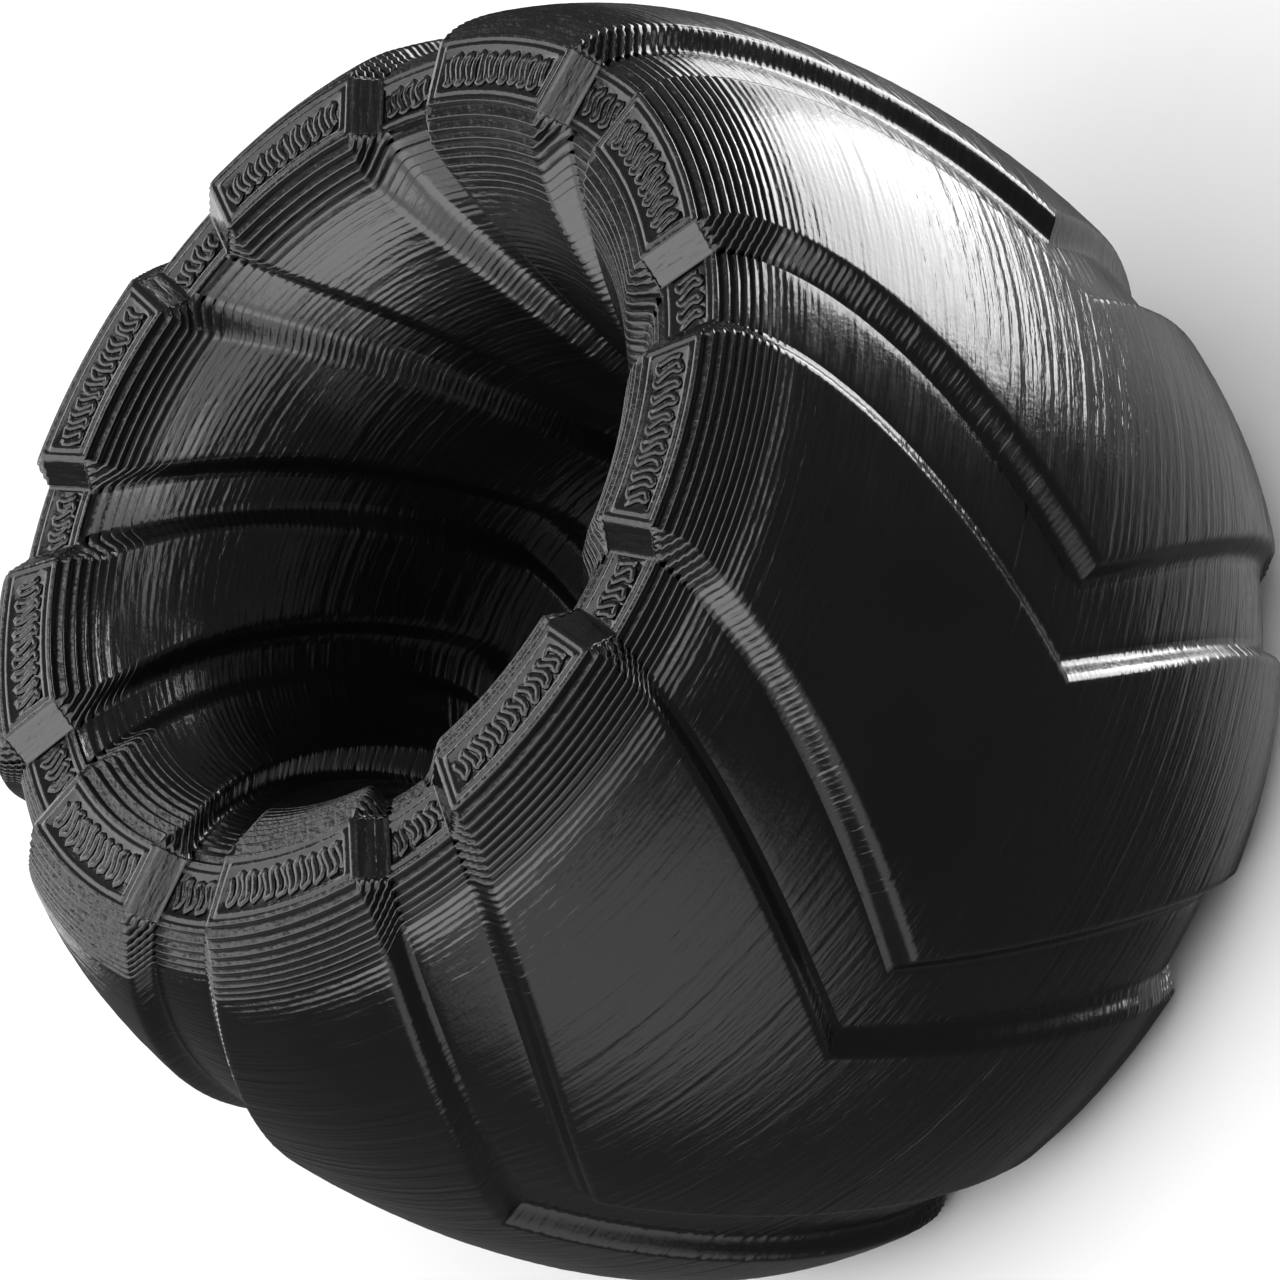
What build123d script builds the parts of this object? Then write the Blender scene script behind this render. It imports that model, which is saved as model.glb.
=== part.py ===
# Case opening friction ball: a soft printed ring with nine chevron tread blocks that wrap right round
# its tube. Millimetres. The origin is the centre of the ring, +Z is the ring's axis, and the ring lies
# flat on the crests of its lower lip.
import os
from math import cos, radians, sin

from build123d import *

os.makedirs("parts", exist_ok=True)

# Tube section of the ring, measured at the face of the tread.
outer_radius = 32.5
crest_radius = 23.2
waist_radius = 11.4
section_height = 45.5
overall_height = 45.0

# Layers of the print, from the tread face inwards.
tread_depth = 1.15
wall_thickness = 1.8

# Tread pattern. Angles run anticlockwise about +Z, in degrees, for the first block.
block_count = 9
block_pitch = 360 / block_count
outer_start = 0.0
outer_end = 28.3
crest_start = 24.0
crest_end = 49.0
waist_start = -11.0
waist_end = 10.0
waist_curve = 1.4

# Reach of the cutting wedges past the tube.
wedge_inner = 4.0
wedge_outer = 48.0
wedge_top = 26.0
groove_top = overall_height / 2 - tread_depth
wedge_steps = 4

# Closed rings at each depth of the print.
rings = {}
depths = {"tread_face": 0.0, "groove_floor": tread_depth, "core": tread_depth + wall_thickness}
for level, depth in depths.items():
    with BuildPart() as ring:
        with BuildSketch(Plane.XZ):
            with BuildLine():
                EllipticalCenterArc(
                    (crest_radius, 0),
                    outer_radius - crest_radius - depth,
                    section_height / 2 - depth,
                    start_angle=-90,
                    arc_size=180,
                )
                EllipticalCenterArc(
                    (crest_radius, 0),
                    crest_radius - waist_radius - depth,
                    section_height / 2 - depth,
                    start_angle=90,
                    arc_size=180,
                )
            make_face()
            with Locations((crest_radius, 0)):
                Rectangle(2 * outer_radius, overall_height - 2 * depth, mode=Mode.INTERSECT)
        revolve(axis=Axis.Z)
    rings[level] = ring.part

# Soft core inside the wall.
with BuildPart() as infill_core:
    add(rings["core"])
infill_core.part.label = "infill_core"
export_step(infill_core.part, "parts/infill_core.step")

# Closed wall that carries the tread, with the groove floors as its outside face.
with BuildPart() as ring_wall:
    add(rings["groove_floor"])
    add(rings["core"], mode=Mode.SUBTRACT)
ring_wall.part.label = "ring_wall"
export_step(ring_wall.part, "parts/ring_wall.step")

# Wedges that bound one block: straight chevron arms outside, curved ones in the hole.
heights = [groove_top * step / wedge_steps for step in range(-wedge_steps, wedge_steps + 1)]
heights = [-wedge_top, *heights, wedge_top]

with BuildPart() as outer_wedge:
    for height in heights:
        rise = min(abs(height) / groove_top, 1.0)
        start = radians(outer_start + (crest_start - outer_start) * rise)
        end = radians(outer_end + (crest_end - outer_end) * rise)
        with BuildSketch(Plane.XY.offset(height)):
            with BuildLine():
                Polyline(
                    (wedge_inner * cos(start), wedge_inner * sin(start)),
                    (wedge_outer * cos(start), wedge_outer * sin(start)),
                    (wedge_outer * cos(end), wedge_outer * sin(end)),
                    (wedge_inner * cos(end), wedge_inner * sin(end)),
                    close=True,
                )
            make_face()
    loft(ruled=True)

with BuildPart() as hole_wedge:
    for height in heights:
        rise = min(abs(height) / groove_top, 1.0) ** waist_curve
        start = radians(waist_start + (crest_start - waist_start) * rise)
        end = radians(waist_end + (crest_end - waist_end) * rise)
        with BuildSketch(Plane.XY.offset(height)):
            with BuildLine():
                Polyline(
                    (wedge_inner * cos(start), wedge_inner * sin(start)),
                    (wedge_outer * cos(start), wedge_outer * sin(start)),
                    (wedge_outer * cos(end), wedge_outer * sin(end)),
                    (wedge_inner * cos(end), wedge_inner * sin(end)),
                    close=True,
                )
            make_face()
    loft(ruled=True)

# Outer and hole flanks of one block, which meet on the crest.
with BuildPart() as outer_flank:
    add(rings["tread_face"])
    add(rings["groove_floor"], mode=Mode.SUBTRACT)
    Cylinder(crest_radius, 2 * wedge_top, mode=Mode.SUBTRACT)
    add(outer_wedge.part, mode=Mode.INTERSECT)

with BuildPart() as hole_flank:
    add(rings["tread_face"])
    add(rings["groove_floor"], mode=Mode.SUBTRACT)
    Cylinder(crest_radius, 2 * wedge_top, mode=Mode.INTERSECT)
    add(hole_wedge.part, mode=Mode.INTERSECT)

with BuildPart() as tread_block:
    add(outer_flank.part)
    add(hole_flank.part)

# Nine equal blocks round the ring.
for number in range(1, block_count + 1):
    with BuildPart() as turned_block:
        add(tread_block.part, rotation=(0, 0, (number - 1) * block_pitch))
    turned_block.part.label = f"tread_block_{number}"
    export_step(turned_block.part, f"parts/tread_block_{number}.step")
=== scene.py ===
import math

import bmesh
import bpy
import numpy as np
from mathutils import Matrix, Vector


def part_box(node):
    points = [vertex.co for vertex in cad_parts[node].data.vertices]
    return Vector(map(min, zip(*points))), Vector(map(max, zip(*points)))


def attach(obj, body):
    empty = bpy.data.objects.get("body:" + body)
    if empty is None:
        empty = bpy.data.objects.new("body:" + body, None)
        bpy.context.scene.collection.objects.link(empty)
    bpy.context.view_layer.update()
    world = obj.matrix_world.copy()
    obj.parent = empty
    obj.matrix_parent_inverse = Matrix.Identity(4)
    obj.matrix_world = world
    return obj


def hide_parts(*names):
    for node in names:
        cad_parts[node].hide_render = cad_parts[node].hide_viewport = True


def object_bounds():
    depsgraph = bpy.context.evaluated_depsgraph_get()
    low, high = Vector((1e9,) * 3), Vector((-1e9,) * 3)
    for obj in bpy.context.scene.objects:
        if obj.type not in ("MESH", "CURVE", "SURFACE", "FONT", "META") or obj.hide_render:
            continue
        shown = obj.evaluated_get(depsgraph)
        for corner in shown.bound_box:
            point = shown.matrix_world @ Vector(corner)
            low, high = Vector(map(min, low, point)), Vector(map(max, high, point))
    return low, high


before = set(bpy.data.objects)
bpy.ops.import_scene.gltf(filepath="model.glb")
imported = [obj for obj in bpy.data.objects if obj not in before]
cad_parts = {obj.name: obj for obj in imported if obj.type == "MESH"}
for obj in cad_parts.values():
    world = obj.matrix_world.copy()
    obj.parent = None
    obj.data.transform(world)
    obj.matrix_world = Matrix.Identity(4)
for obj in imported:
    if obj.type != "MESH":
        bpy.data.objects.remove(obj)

# Case opening friction ball: a ring printed in black elastomer, with nine chevron tread blocks that wrap
# right round its tube. The skins below redraw the wall and the blocks layer by layer, as they were laid
# down. Lengths are millimetres until a mesh is made. Angles run anticlockwise about +Z.

MM = 0.001
cad_low, cad_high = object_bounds()

# Tube section. What the frame knows comes from the frame.
outer_radius = cad_high.x / MM
half_height = cad_high.z / MM
tread_depth = outer_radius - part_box("ring_wall")[1].x / MM
core_depth = outer_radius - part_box("infill_core")[1].x / MM
crest_radius = 23.2
waist_radius = 11.4
section_half_height = 22.75
groove_top = half_height - tread_depth

# Tread pattern of the first block, in degrees.
block_count = 9
block_pitch = 360 / block_count
outer_angles = (0.0, 28.3)
crest_angles = (24.0, 49.0)
waist_angles = (-11.0, 10.0)
waist_curve = 1.4

# Print. Each layer is a bead with a root, a bulge and a rounded shoulder: share of its height, and inset.
layer = 0.3
line_width = 0.42
layers_per_half = round(half_height / layer)
layers_per_tread = round(tread_depth / layer)
bead_rows = ((0.0, 0.024), (0.42, 0.0), (0.84, 0.010))
rim_rows = ((1.0, 0.035), (1.0, 0.09))
rims_from = 19.5
clamped_inset = 0.095
skin_clearance = 0.02
shoulder = 0.04

# Heights between which the layers grow from a nearly smooth flank into full steps, outside and in the hole.
outer_lines = (18.4, 21.0)
hole_lines = (20.0, 22.0)
flank_step_share = 0.12
flank_inset_share = 0.18

# Unevenness of each layer along its line.
layer_wobble = 0.010
wobble_limits = (-0.02, 0.018)
wobble_keys = 2000
wobbles_per_key = 6

# Walls of a block: distance from its edge towards the groove, and share of the tread depth. The smooth wall
# turns into the stepped one between two heights, outside and in the hole.
smooth_wall = (
    (-0.25, 0.0), (-0.05, 0.03), (0.12, 0.11), (0.27, 0.24), (0.42, 0.40),
    (0.58, 0.60), (0.73, 0.76), (0.88, 0.89), (1.05, 0.97), (1.25, 1.0),
)
stepped_wall = (
    (-0.25, 0.0), (-0.03, 0.02), (0.04, 0.15), (0.34, 0.29), (0.39, 0.43),
    (0.69, 0.56), (0.74, 0.70), (1.04, 0.83), (1.09, 0.97), (1.25, 1.0),
)
outer_steps = (19.0, 21.0)
hole_steps = (20.5, 22.3)

# Rows that a wall's slant is averaged over.
slant_blur = 9

# Columns of a block's mesh: distances past its edge for the perimeter lines, then counts.
perimeter_columns = (-0.38, -0.46, -0.54, -0.80, -0.90)
face_columns = 6
under_columns = 2
floor_columns = 5

# Crest: two perimeter lines round an infill band, as distance from the outline and height.
crest_profile = (
    (0.12, 0.0), (0.34, 0.0), (0.42, -0.08), (0.50, 0.0), (0.76, 0.0), (0.86, -0.1),
)
crest_offsets = (0.12, 0.22, 0.34, 0.42, 0.50, 0.76, 0.86)
crest_middle = (0.25, 0.5, 0.75)
infill_width = line_width * 0.92
infill_height = 0.1
infill_depth = 0.05
infill_gap_on_block = 0.1
infill_gap_on_floor = 0.15

# Finish of the two materials: base colour and roughness.
elastomer_finish = ((0.0022, 0.0022, 0.0023), 0.18)
infill_finish = ((0.028, 0.028, 0.028), 0.5)

# Studio. A soft area of light has an azimuth, an elevation, the angle from its middle that is at full
# strength, the angle past which there is none, and a strength.
tent = ((-170, 78, 59, 66, 2.3), (162, -2, 20, 26, 2.2), (0, 62, 8, 19, 5.0))
gap_in_tent = (108, 29, 37.6, 40.3, 0.95)
glows = ((-105, 47, 20, 34, 4.5), (-76, -6, 14, 40, 1.1), (85, -56, 12, 32, 0.45), (98, -18, 12, 20, 5.0))
light_all_round = 0.12
floor_reach = 3.0
floor_grey = 0.6

# Camera: lens in millimetres, shift, distance in outer radii. Then in degrees how far the ring's axis leans
# from the line of sight, to which side, and how far the ring is turned about it.
camera_lens = 224.6
camera_shift = (0.0041, 0.00465)
camera_distance = 12.965
camera_lean, camera_side, camera_spin = 51.07, 30.31, -61.67

rng = np.random.default_rng(41)


# ---------------------------------------------------------------- rows of the print, round the section


def smooth_step(value, low, high):
    share = np.clip((value - low) / (high - low), 0, 1)
    return share * share * (3 - 2 * share)


def flank_rows(lines):
    """(height, height that the outline is taken at, inset, layer number) up one flank.

    The layers are pressed almost smooth below the first height of lines, and full steps past the second.
    """
    upper = []
    for number in range(layers_per_half):
        base = number * layer
        middle = base + layer / 2
        full = float(smooth_step(middle, *lines))
        step = flank_step_share + (1 - flank_step_share) * full
        depth = flank_inset_share + (1 - flank_inset_share) * full
        beads = bead_rows + (rim_rows if base >= rims_from else ())
        for share, inset in beads:
            z = base + share * layer
            upper.append((z, z + (middle - z) * step, inset * depth, number))
    lower = [(-z, -outline, inset, -1 - number) for z, outline, inset, number in reversed(upper)]
    return lower + upper[1:]


def crest_rows():
    """(distance from the outer edge, distance from the hole edge, share between) across the crest."""
    rows = [(offset, None, None) for offset in crest_offsets]
    rows += [(None, None, share) for share in crest_middle]
    rows += [(None, offset, None) for offset in reversed(crest_offsets)]
    return rows


class Rows:
    """Every row of the closed section: up the outside, over the crest, down the hole, back below."""

    def __init__(self):
        crest = crest_rows()
        self.side, self.z, self.middle, self.inset, self.number = [], [], [], [], []
        self.crest, self.from_outer, self.from_hole, self.share = [], [], [], []
        for z, middle, inset, number in flank_rows(outer_lines):
            self._add(1, z, middle, inset, number)
        for row in crest:
            self._add(0, half_height, half_height, 0.0, layers_per_half, 1, row)
        for z, middle, inset, number in reversed(flank_rows(hole_lines)):
            self._add(-1, z, middle, inset, number)
        for row in reversed(crest):
            self._add(0, -half_height, -half_height, 0.0, -layers_per_half - 1, -1, row)
        for name in list(vars(self)):
            setattr(self, name, np.array(getattr(self, name), dtype=float))
        self.count = len(self.z)
        on_step = np.abs(self.z) >= rims_from + layer - 1e-6
        self.foot = on_step & (self.side != 0) & (self.z * self.number > 0) & self._at_root()
        self.wobble = self._wobbles()

    def _add(self, side, z, middle, inset, number, crest=0, row=(None, None, None)):
        nothing = float("nan")
        self.side.append(side)
        self.z.append(z)
        self.middle.append(middle)
        self.inset.append(inset)
        self.number.append(number)
        self.crest.append(crest)
        self.from_outer.append(nothing if row[0] is None else row[0])
        self.from_hole.append(nothing if row[1] is None else row[1])
        self.share.append(nothing if row[2] is None else row[2])

    def _at_root(self):
        """Rows where a layer starts, at the foot of its bead."""
        share = np.abs(self.z) / layer
        layers = np.abs(self.number + 0.5) - 0.5
        return np.abs(share - layers) < 1e-6

    def _wobbles(self):
        """Amplitudes and phases of each layer's slow unevenness along its line."""
        keys = (self.number + 2 * layers_per_half).astype(int) + 1000 * (self.side < 0)
        table = rng.normal(size=(wobble_keys, wobbles_per_key))
        return table[keys]


rows = Rows()


def bow(middle, depth):
    """Share of the section's width left at a height."""
    return np.sqrt(np.clip(1 - (middle / (section_half_height - depth)) ** 2, 1e-6, 1))


def place(depth):
    """Radius and height of every row at a depth, one number or one for each row."""
    depth = np.broadcast_to(np.asarray(depth, dtype=float), rows.z.shape)
    top = half_height - depth * (layers_per_tread * layer / tread_depth)
    limit = top - layer / 2
    over = np.abs(rows.middle) > limit + 1e-6
    middle = np.clip(rows.middle, -limit, limit)
    z = np.where(over, np.sign(rows.z) * top, rows.z)
    inset = np.where(over, clamped_inset, rows.inset) + skin_clearance
    outer_span = outer_radius - crest_radius - depth
    hole_span = crest_radius - waist_radius - depth
    outer_edge = crest_radius + outer_span * bow(limit, depth) - skin_clearance
    hole_edge = crest_radius - hole_span * bow(limit, depth) + skin_clearance
    width = bow(middle, depth)
    radius = np.where(
        rows.side > 0,
        crest_radius + outer_span * width - inset,
        crest_radius - hole_span * width + inset,
    )
    on_crest = rows.crest != 0
    across = outer_edge - hole_edge
    from_outer = np.where(np.isnan(rows.from_outer), 0, rows.from_outer)
    from_hole = np.where(np.isnan(rows.from_hole), 0, rows.from_hole)
    inner_width = across - 2 * crest_offsets[-1]
    share = np.where(np.isnan(rows.share), 0, rows.share)
    crest = np.where(
        ~np.isnan(rows.from_outer),
        outer_edge - from_outer,
        np.where(
            ~np.isnan(rows.from_hole),
            hole_edge + from_hole,
            outer_edge - crest_offsets[-1] - inner_width * share,
        ),
    )
    radius = np.where(on_crest, crest, radius)
    z = np.where(on_crest, rows.crest * top, z)
    return radius, z, np.minimum(outer_edge - radius, radius - hole_edge)


face_radius = place(0.0)[0]


def edges():
    """Angles of a block's start and end edge at every row, in radians, and the cosines of their slant."""
    rise = np.minimum(np.abs(rows.middle) / groove_top, 1.0)
    curved = rise**waist_curve
    slope_rise = np.where(rise < 1, 1 / groove_top, 0.0)
    slope_curved = np.where(rise < 1, waist_curve * rise ** (waist_curve - 1) / groove_top, 0.0)
    width = bow(rows.middle, 0.0)
    run = np.abs(rows.middle) / section_half_height**2 / width
    angles, cosines = [], []
    for outer, crest, waist in zip(outer_angles, crest_angles, waist_angles):
        on_outer = outer + (crest - outer) * rise
        in_hole = waist + (crest - waist) * curved
        angle = np.radians(np.where(rows.side > 0, on_outer, in_hole))
        angle = np.where(rows.side == 0, math.radians(crest), angle)
        turn = np.radians(
            np.where(rows.side > 0, (crest - outer) * slope_rise, (crest - waist) * slope_curved)
        )
        span = np.where(rows.side > 0, outer_radius - crest_radius, crest_radius - waist_radius)
        along = np.sqrt(1 + (span * run) ** 2)
        tangent = np.where(rows.side == 0, 0.0, face_radius * turn / along)
        cosine = 1 / np.sqrt(1 + tangent**2)
        blur = np.ones(slant_blur) / slant_blur
        reach = slant_blur // 2
        padded = np.concatenate([cosine[-reach:], cosine, cosine[:reach]])
        angles.append(angle)
        cosines.append(np.convolve(padded, blur, mode="valid"))
    return angles, cosines


(start_edge, end_edge), (start_slant, end_slant) = edges()
step_share = np.where(
    rows.side < 0,
    smooth_step(np.abs(rows.middle), *hole_steps),
    smooth_step(np.abs(rows.middle), *outer_steps),
)


def wall_column(index):
    """Distance past the edge and depth of one wall column, at every row."""
    smooth, stepped = smooth_wall[index], stepped_wall[index]
    distance = smooth[0] + (stepped[0] - smooth[0]) * step_share
    depth = (smooth[1] + (stepped[1] - smooth[1]) * step_share) * tread_depth
    root = np.where(rows.side == 0, 0, rows.inset)
    return distance - root, depth


def start_angle(distance):
    return start_edge - distance / (face_radius * start_slant)


def end_angle(distance):
    return end_edge + distance / (face_radius * end_slant)


def crest_height(distance):
    """Height of the printed lines on the crest at a distance from the layer's outline."""
    known, height = zip(*crest_profile)
    return np.interp(distance, known, height)


def column(angle, depth, end_distance=None):
    """Points of one column in millimetres, one for each row."""
    radius, z, from_rim = place(depth)
    outline = from_rim if end_distance is None else np.minimum(from_rim, end_distance)
    z = z + np.where(rows.crest != 0, rows.crest * crest_height(outline), 0.0)
    return np.stack([radius, angle + 0 * radius, z], axis=1)


def wobbled(points, row_index):
    """Turns (radius, angle, height) into x, y, z, with each layer slightly uneven along its line.

    Three waves go 3, 11 and 37 times round the ring.
    """
    radius, angle, z = points[:, 0], points[:, 1], points[:, 2]
    a = rows.wobble[row_index]
    wave = 0.45 * a[:, 0] + 0.35 * a[:, 1] * np.sin(3 * angle + 6 * a[:, 2])
    wave = wave + 0.3 * a[:, 3] * np.sin(11 * angle + 6 * a[:, 4])
    wave = wave + 0.25 * np.sin(37 * angle + 6 * a[:, 5])
    flank = (rows.side[row_index] != 0).astype(float)
    radius = radius + np.clip(layer_wobble * wave, *wobble_limits) * flank
    return np.stack([radius * np.cos(angle), radius * np.sin(angle), z], axis=1)


# ---------------------------------------------------------------- meshes


def grid_faces(row_count, column_count):
    """Quads of a closed grid whose points run row by row within each column."""
    rr, cc = np.meshgrid(np.arange(row_count), np.arange(column_count), indexing="ij")
    nr, nc = (rr + 1) % row_count, (cc + 1) % column_count
    quads = np.stack(
        [cc * row_count + rr, nc * row_count + rr, nc * row_count + nr, cc * row_count + nr], axis=-1
    )
    return quads.reshape(-1, 4)


def infill_path(start, end, inner, outer):
    """Centre line of a back and forth infill line on the crest: (radius, angle) points."""
    middle = (inner + outer) / 2
    length = (end - start) * middle
    strokes = max(2, int(length / line_width))
    pitch = (end - start) / strokes
    half = (outer - inner) / 2 - line_width / 2
    turn = line_width / 2
    points = []
    for stroke in range(strokes):
        sign = 1 if stroke % 2 == 0 else -1
        at = start + (stroke + 0.5) * pitch
        lean = rng.uniform(0.1, 0.5) * pitch
        bend = rng.uniform(0.1, 0.6) * pitch
        span = half * rng.uniform(0.86, 1.06)
        for reach in (-1.0, -0.5, 0.0, 0.5, 1.0):
            shift = sign * lean * math.sin(math.pi * reach / 2) + bend * (1 - reach * reach)
            points.append((middle + sign * reach * (span - turn * 0.7), at + shift))
        if stroke < strokes - 1:
            for turn_angle in (0.25, 0.5, 0.75):
                bulge = math.sin(math.pi * turn_angle)
                points.append(
                    (
                        middle + sign * (span - turn * 0.7 + turn * bulge),
                        at + sign * lean * (1 - 2 * turn_angle) + pitch * turn_angle,
                    )
                )
    return points


def swept_line(path, z, side, width, height, sides=8):
    """A flattened tube along a path on the crest, closed at both ends: points in x, y, z and faces."""
    flat = np.array([(r * math.cos(a), r * math.sin(a)) for r, a in path])
    ahead = np.roll(flat, -1, axis=0)
    behind = np.roll(flat, 1, axis=0)
    ahead[-1], behind[0] = flat[-1], flat[0]
    along = ahead - behind
    along /= np.linalg.norm(along, axis=1, keepdims=True)
    across = np.stack([-along[:, 1], along[:, 0]], axis=1)
    points, faces = [], []
    for centre, normal in zip(flat, across):
        for k in range(sides):
            turn = 2 * math.pi * k / sides
            spot = centre + normal * width / 2 * math.cos(turn)
            points.append((spot[0], spot[1], z + side * height / 2 * math.sin(turn)))
    for n in range(len(flat) - 1):
        for k in range(sides):
            a, b = n * sides + k, n * sides + (k + 1) % sides
            faces.append((a, b, b + sides, a + sides) if side > 0 else (a + sides, b + sides, b, a))
    first, last = list(range(sides)), list(range((len(flat) - 1) * sides, len(flat) * sides))
    faces.append(first[::-1] if side > 0 else first)
    faces.append(last if side > 0 else last[::-1])
    return points, faces


def creases(column_count):
    """Pairs of points along the foot of every step on the lips, round a closed grid of columns."""
    feet = [r for r in range(rows.count) if rows.foot[r]]
    pairs = []
    for c in range(column_count):
        this, following = c * rows.count, (c + 1) % column_count * rows.count
        pairs += [(this + r, following + r) for r in feet]
    return pairs


def build(name, points, faces, sharp_pairs=(), hollow=range(0)):
    """A mesh object from points in millimetres, welded, with smooth faces that look outwards.

    The faces in hollow bound a cavity and look into it.
    """
    mesh = bpy.data.meshes.new(name)
    mesh.from_pydata([tuple(p) for p in np.asarray(points) * MM], [], [tuple(f) for f in faces])
    work = bmesh.new()
    work.from_mesh(mesh)
    for face in work.faces:
        face.smooth = True
        face.material_index = int(face.index in hollow)
    work.verts.ensure_lookup_table()
    for a, b in sharp_pairs:
        edge = work.edges.get((work.verts[a], work.verts[b]))
        if edge:
            edge.smooth = False
    bmesh.ops.remove_doubles(work, verts=work.verts, dist=2e-7)
    bmesh.ops.dissolve_degenerate(work, edges=work.edges, dist=1e-7)
    bmesh.ops.recalc_face_normals(work, faces=work.faces)
    bmesh.ops.reverse_faces(work, faces=[face for face in work.faces if face.material_index])
    for face in work.faces:
        face.material_index = 0
    work.to_mesh(mesh)
    work.free()
    piece = bpy.data.objects.new(name, mesh)
    bpy.context.scene.collection.objects.link(piece)
    flats = piece.modifiers.new("flat treads", "WEIGHTED_NORMAL")
    flats.keep_sharp = True
    return piece


def block_columns():
    """Columns of one block, from its start foot over its face to its end foot, then back beneath."""
    walls = range(len(smooth_wall))
    columns = []
    for index in reversed(walls):
        distance, depth = wall_column(index)
        columns.append(column(start_angle(distance), depth, np.maximum(-distance - shoulder, 0)))
    for distance in perimeter_columns:
        columns.append(column(start_angle(distance), 0.0, -distance - shoulder))
    first, last = start_angle(perimeter_columns[-1]), end_angle(perimeter_columns[-1])
    for step in range(1, face_columns + 1):
        share = step / (face_columns + 1)
        columns.append(column(first + (last - first) * share, 0.0))
    for distance in reversed(perimeter_columns):
        columns.append(column(end_angle(distance), 0.0, -distance - shoulder))
    for index in walls:
        distance, depth = wall_column(index)
        columns.append(column(end_angle(distance), depth, np.maximum(-distance - shoulder, 0)))
    first, last = columns[-1][:, 1], columns[0][:, 1]
    for step in range(1, under_columns + 1):
        share = step / (under_columns + 1)
        columns.append(column(first + (last - first) * share, tread_depth))
    return columns


def crest_infill(start, end, depth):
    """Infill lines on both crests between two angles, at a depth."""
    radius, z, _ = place(depth)
    crest = rows.crest > 0
    outer, inner, top = radius[crest].max(), radius[crest].min(), z[crest].max()
    margin = 2 * line_width - shoulder
    points, faces = [], []
    for side in (1, -1):
        path = infill_path(start, end, inner + margin, outer - margin)
        spots, rings = swept_line(path, side * (top - infill_depth), side, infill_width, infill_height)
        faces += [[i + len(points) for i in ring] for ring in rings]
        points += spots
    return points, faces


def tread_block_skin(number):
    """One block: a closed shell of printed layers, with the infill lines on its two crests."""
    turn = math.radians((number - 1) * block_pitch)
    columns = block_columns()
    row_index = np.arange(rows.count)
    points = []
    for points_in_column in columns:
        moved = points_in_column.copy()
        moved[:, 1] += turn
        points.append(wobbled(moved, row_index))
    points = np.concatenate(points)
    faces = grid_faces(rows.count, len(columns))
    feet = (0, len(columns) - 1 - under_columns)
    sharp = creases(len(columns))
    for foot in feet:
        base = foot * rows.count
        sharp += [(base + r, base + (r + 1) % rows.count) for r in range(rows.count)]
    margin = (2 * line_width + infill_gap_on_block) / crest_radius
    start, end = (math.radians(angle) for angle in crest_angles)
    spots, rings = crest_infill(start + margin + turn, end - margin + turn, 0.0)
    base = len(points)
    faces = [tuple(f) for f in faces] + [tuple(i + base for i in ring) for ring in rings]
    points = np.concatenate([points, np.array(spots)])
    return build(f"tread_block_{number}_skin", points, faces, sharp)


def wall_skin():
    """The closed wall: the groove floors outside, the cavity for the infill inside."""
    row_index = np.arange(rows.count)
    foot_distance, foot_depth = wall_column(len(smooth_wall) - 1)
    start_foot, end_foot = start_angle(foot_distance), end_angle(foot_distance)
    pitch = math.radians(block_pitch)
    points, count = [], 0
    for number in range(block_count):
        turn = number * pitch
        for step in range(under_columns + 1):
            share = step / (under_columns + 1)
            angle = start_foot + (end_foot - start_foot) * share + turn
            points.append(wobbled(column(angle, tread_depth), row_index))
        for step in range(floor_columns + 1):
            share = step / (floor_columns + 1)
            angle = end_foot + (start_foot + pitch - end_foot) * share + turn
            points.append(wobbled(column(angle, tread_depth), row_index))
        count += under_columns + floor_columns + 2
    outside = np.concatenate(points)
    faces = [tuple(f) for f in grid_faces(rows.count, count)]
    inside, inside_faces = cavity()
    hollow = range(len(faces), len(faces) + len(inside_faces))
    faces += [tuple(i + len(outside) for i in f) for f in inside_faces]
    points = np.concatenate([outside, inside])
    foot = (smooth_wall[-1][0] + infill_gap_on_floor) / crest_radius
    for number in range(block_count):
        start = math.radians(crest_angles[1]) + foot + number * pitch
        end = math.radians(crest_angles[0]) - foot + (number + 1) * pitch
        spots, rings = crest_infill(start, end, tread_depth)
        faces += [tuple(i + len(points) for i in ring) for ring in rings]
        points = np.concatenate([points, np.array(spots)])
    return build("ring_wall_skin", points, faces, creases(count), hollow)


def cavity(around=72, half_arc=16):
    """The inside face of the wall, where the infill core sits."""
    top = half_height - core_depth
    semi = section_half_height - core_depth
    tip = math.asin(top / semi)
    section = []
    for side, span in (
        (1, outer_radius - crest_radius - core_depth),
        (-1, crest_radius - waist_radius - core_depth),
    ):
        for step in range(half_arc + 1):
            turn = side * (-tip + 2 * tip * step / half_arc)
            section.append((crest_radius + side * span * math.cos(turn), semi * math.sin(turn)))
    points = []
    for k in range(around):
        angle = 2 * math.pi * k / around
        points += [(r * math.cos(angle), r * math.sin(angle), z) for r, z in section]
    return np.array(points), grid_faces(len(section), around)[:, ::-1]


# ---------------------------------------------------------------- materials


def node(tree, kind, **sockets):
    """Adds a node. Keys are settings, or inputs when they start with in_."""
    made = tree.nodes.new(kind)
    for key, value in sockets.items():
        if key.startswith("in_"):
            made.inputs[key[3:].replace("_", " ")].default_value = value
        else:
            setattr(made, key, value)
    return made


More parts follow.
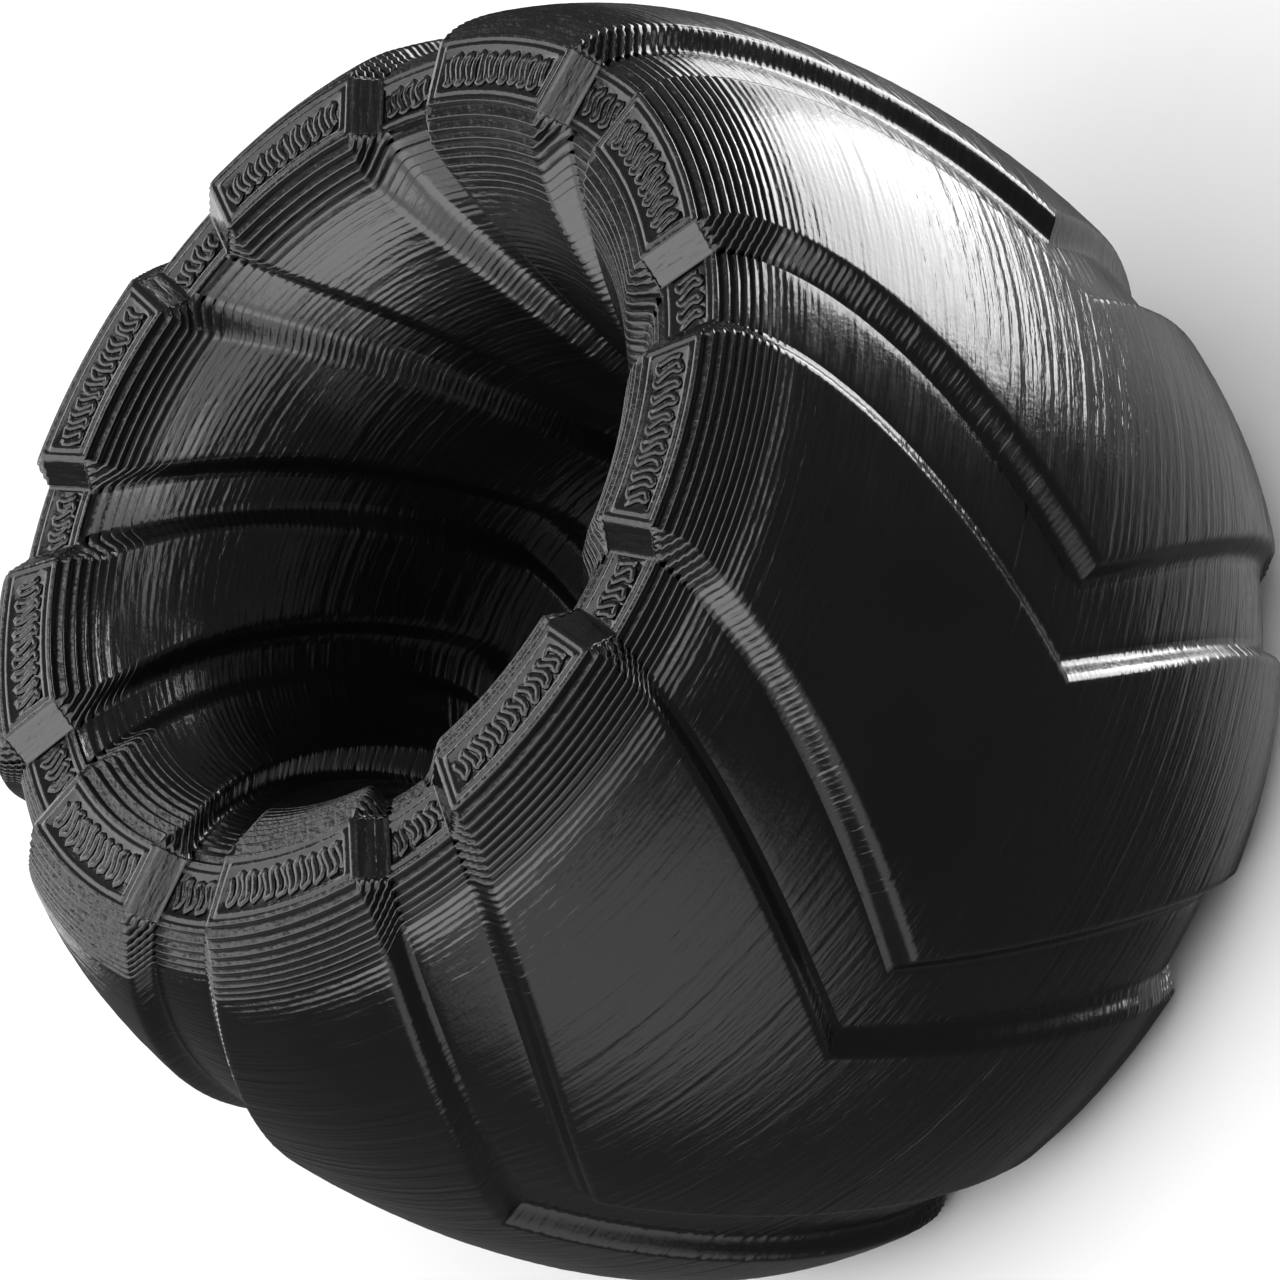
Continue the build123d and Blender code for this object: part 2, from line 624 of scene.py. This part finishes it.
def printed_elastomer(name, base, roughness):
    """Black printed elastomer: streaks and dashes along the layers, fine grain, mottled level faces."""
    material = bpy.data.materials.new(name)
    material.use_nodes = True
    tree = material.node_tree
    shader = tree.nodes["Principled BSDF"]
    shader.inputs["IOR"].default_value = 1.5
    place_node = node(tree, "ShaderNodeTexCoord")

    def noise(stretch, scale, detail, name_of):
        scaled = node(tree, "ShaderNodeMapping")
        scaled.inputs["Scale"].default_value = stretch
        tree.links.new(place_node.outputs["Object"], scaled.inputs["Vector"])
        texture = node(tree, "ShaderNodeTexNoise", in_Scale=scale, in_Detail=detail, label=name_of)
        tree.links.new(scaled.outputs["Vector"], texture.inputs["Vector"])
        return texture.outputs["Fac"]

    def remap(value, low, high, to_low, to_high):
        ramp = node(tree, "ShaderNodeMapRange")
        for key, number in zip(("From Min", "From Max", "To Min", "To Max"), (low, high, to_low, to_high)):
            ramp.inputs[key].default_value = number
        tree.links.new(value, ramp.inputs["Value"])
        return ramp.outputs["Result"]

    streaks = noise((1, 1, 24), 320, 3, "streaks along the layers")
    long_streaks = noise((1, 1, 40), 60, 2, "slow streaks")
    dashes = noise((1, 1, 6), 700, 2, "short dashes in the layers")
    grain = noise((1, 1, 1), 3800, 2, "grain")
    mottle = noise((1, 1, 1), 2400, 3, "mottled top layers")
    patches = noise((1, 1, 1), 130, 4, "handled patches")

    mix = node(tree, "ShaderNodeMix", data_type="RGBA")
    mix.inputs["A"].default_value = (*[c * 0.75 for c in base], 1)
    mix.inputs["B"].default_value = (*[c * 1.5 for c in base], 1)
    tree.links.new(patches, mix.inputs["Factor"])
    tree.links.new(mix.outputs["Result"], shader.inputs["Base Color"])

    rough = node(tree, "ShaderNodeMath", operation="ADD")
    tree.links.new(remap(patches, 0.3, 0.7, roughness * 0.8, roughness * 1.15), rough.inputs[0])
    tree.links.new(remap(streaks, 0.3, 0.7, -0.04, 0.06), rough.inputs[1])
    tree.links.new(rough.outputs["Value"], shader.inputs["Roughness"])

    facing = node(tree, "ShaderNodeSeparateXYZ")
    tree.links.new(node(tree, "ShaderNodeNewGeometry").outputs["True Normal"], facing.inputs["Vector"])
    level = node(tree, "ShaderNodeMath", operation="ABSOLUTE")
    tree.links.new(facing.outputs["Z"], level.inputs[0])
    mottled = node(tree, "ShaderNodeMath", operation="MULTIPLY")
    tree.links.new(mottle, mottled.inputs[0])
    tree.links.new(remap(level.outputs["Value"], 0.75, 0.97, 0.0, 1.0), mottled.inputs[1])

    normal = None
    for height, distance, strength in (
        (long_streaks, 0.00003, 0.5),
        (streaks, 0.00002, 0.5),
        (dashes, 0.00004, 0.75),
        (grain, 0.000014, 0.6),
        (mottled.outputs["Value"], 0.00005, 0.6),
    ):
        bump = node(tree, "ShaderNodeBump", in_Distance=distance, in_Strength=strength)
        tree.links.new(height, bump.inputs["Height"])
        if normal:
            tree.links.new(normal, bump.inputs["Normal"])
        normal = bump.outputs["Normal"]
    tree.links.new(normal, shader.inputs["Normal"])
    return material


def dress(piece, material, node_name):
    piece.data.materials.clear()
    piece.data.materials.append(material)
    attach(piece, "root")
    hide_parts(node_name)


elastomer = printed_elastomer("printed black elastomer", *elastomer_finish)
for number in range(1, block_count + 1):
    dress(tread_block_skin(number), elastomer, f"tread_block_{number}")
dress(wall_skin(), elastomer, "ring_wall")
infill = printed_elastomer("infill elastomer", *infill_finish)
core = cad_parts["infill_core"]
core.data.materials.clear()
core.data.materials.append(infill)


# ---------------------------------------------------------------- floor, lights, camera


def direction(azimuth, elevation):
    a, e = math.radians(azimuth), math.radians(elevation)
    return Vector((math.cos(a) * math.cos(e), math.sin(a) * math.cos(e), math.sin(e)))


def soft_panel(name, azimuth, elevation, width, height, radiance, distance=1.0):
    """A square-on soft light. Width and height are the angles it fills."""
    light = bpy.data.lights.new(name, "AREA")
    light.shape = "RECTANGLE"
    light.size = 2 * distance * math.tan(math.radians(width / 2))
    light.size_y = 2 * distance * math.tan(math.radians(height / 2))
    light.energy = radiance * math.pi * light.size * light.size_y
    lamp = bpy.data.objects.new(name, light)
    away = direction(azimuth, elevation)
    lamp.location = away * distance
    lamp.rotation_mode = "QUATERNION"
    lamp.rotation_quaternion = away.to_track_quat("Z", "Y")
    bpy.context.scene.collection.objects.link(lamp)


def surroundings():
    """The studio round the object: a white tent above with a dark gap in it, and soft glows low down."""
    world = bpy.data.worlds.new("studio")
    bpy.context.scene.world = world
    world.use_nodes = True
    tree = world.node_tree
    around = node(tree, "ShaderNodeTexCoord").outputs["Generated"]

    def lobe(azimuth, elevation, inner, outer, strength):
        """Full strength within the inner angle of a direction, none past the outer one."""
        facing = node(tree, "ShaderNodeVectorMath", operation="DOT_PRODUCT")
        facing.inputs[1].default_value = direction(azimuth, elevation)
        tree.links.new(around, facing.inputs[0])
        fade = node(tree, "ShaderNodeMapRange", interpolation_type="SMOOTHSTEP")
        fade.inputs["From Min"].default_value = math.cos(math.radians(outer))
        fade.inputs["From Max"].default_value = math.cos(math.radians(inner))
        fade.inputs["To Max"].default_value = strength
        tree.links.new(facing.outputs["Value"], fade.inputs["Value"])
        return fade.outputs["Result"]

    def combine(operation, first, second):
        made = node(tree, "ShaderNodeMath", operation=operation)
        for socket, value in zip(made.inputs, (first, second)):
            if isinstance(value, float):
                socket.default_value = value
            else:
                tree.links.new(value, socket)
        return made.outputs["Value"]

    light = lobe(*tent[0])
    for panel in tent[1:]:
        light = combine("MAXIMUM", light, lobe(*panel))
    light = combine("MULTIPLY", light, combine("SUBTRACT", 1.0, lobe(*gap_in_tent)))
    for glow in glows:
        light = combine("MAXIMUM", light, lobe(*glow))
    light = combine("ADD", light, light_all_round)
    background = tree.nodes["Background"]
    tree.links.new(light, background.inputs["Strength"])
    background.inputs["Color"].default_value = (1, 1, 1, 1)


def studio():
    floor_mesh = bpy.data.meshes.new("floor")
    reach, level = floor_reach, cad_low.z
    floor_mesh.from_pydata(
        [(-reach, -reach, level), (reach, -reach, level), (reach, reach, level), (-reach, reach, level)],
        [],
        [(0, 1, 2, 3)],
    )
    floor = bpy.data.objects.new("floor", floor_mesh)
    bpy.context.scene.collection.objects.link(floor)
    pale = bpy.data.materials.new("pale floor")
    pale.use_nodes = True
    shader = pale.node_tree.nodes["Principled BSDF"]
    shader.inputs["Base Color"].default_value = (floor_grey, floor_grey, floor_grey, 1)
    shader.inputs["Roughness"].default_value = 0.9
    shader.inputs["Specular IOR Level"].default_value = 0.0
    floor_mesh.materials.append(pale)
    floor.visible_glossy = False
    floor.visible_shadow = False

    soft_panel("key panel", azimuth=68, elevation=-9, width=40, height=42, radiance=12)
    surroundings()
    bpy.context.scene.view_settings.view_transform = "Standard"


def camera():
    """Camera at the photo's angle.

    The ring's own directions are first written as the camera sees them: right, down and away from it.
    """
    lens = bpy.data.cameras.new("camera")
    lens.lens = camera_lens
    lens.shift_x, lens.shift_y = camera_shift
    eye = bpy.data.objects.new("camera", lens)
    distance = camera_distance * outer_radius * MM
    lean, side = math.radians(camera_lean), math.radians(camera_side)
    axis = Vector((-math.sin(lean) * math.cos(side), -math.sin(lean) * math.sin(side), -math.cos(lean)))
    across = Vector((math.sin(side), -math.cos(side), 0))
    ring = Matrix((across, axis.cross(across), axis)).transposed()
    view = ring @ Matrix.Rotation(math.radians(camera_spin), 3, "Z")
    eye.location = -(view.transposed() @ Vector((0, 0, distance)))
    turned = Matrix((view[0], -view[1], -view[2])).transposed()
    eye.rotation_mode = "QUATERNION"
    eye.rotation_quaternion = turned.to_quaternion()
    lens.clip_start, lens.clip_end = 0.01, 20
    bpy.context.scene.collection.objects.link(eye)
    bpy.context.scene.camera = eye


studio()
camera()
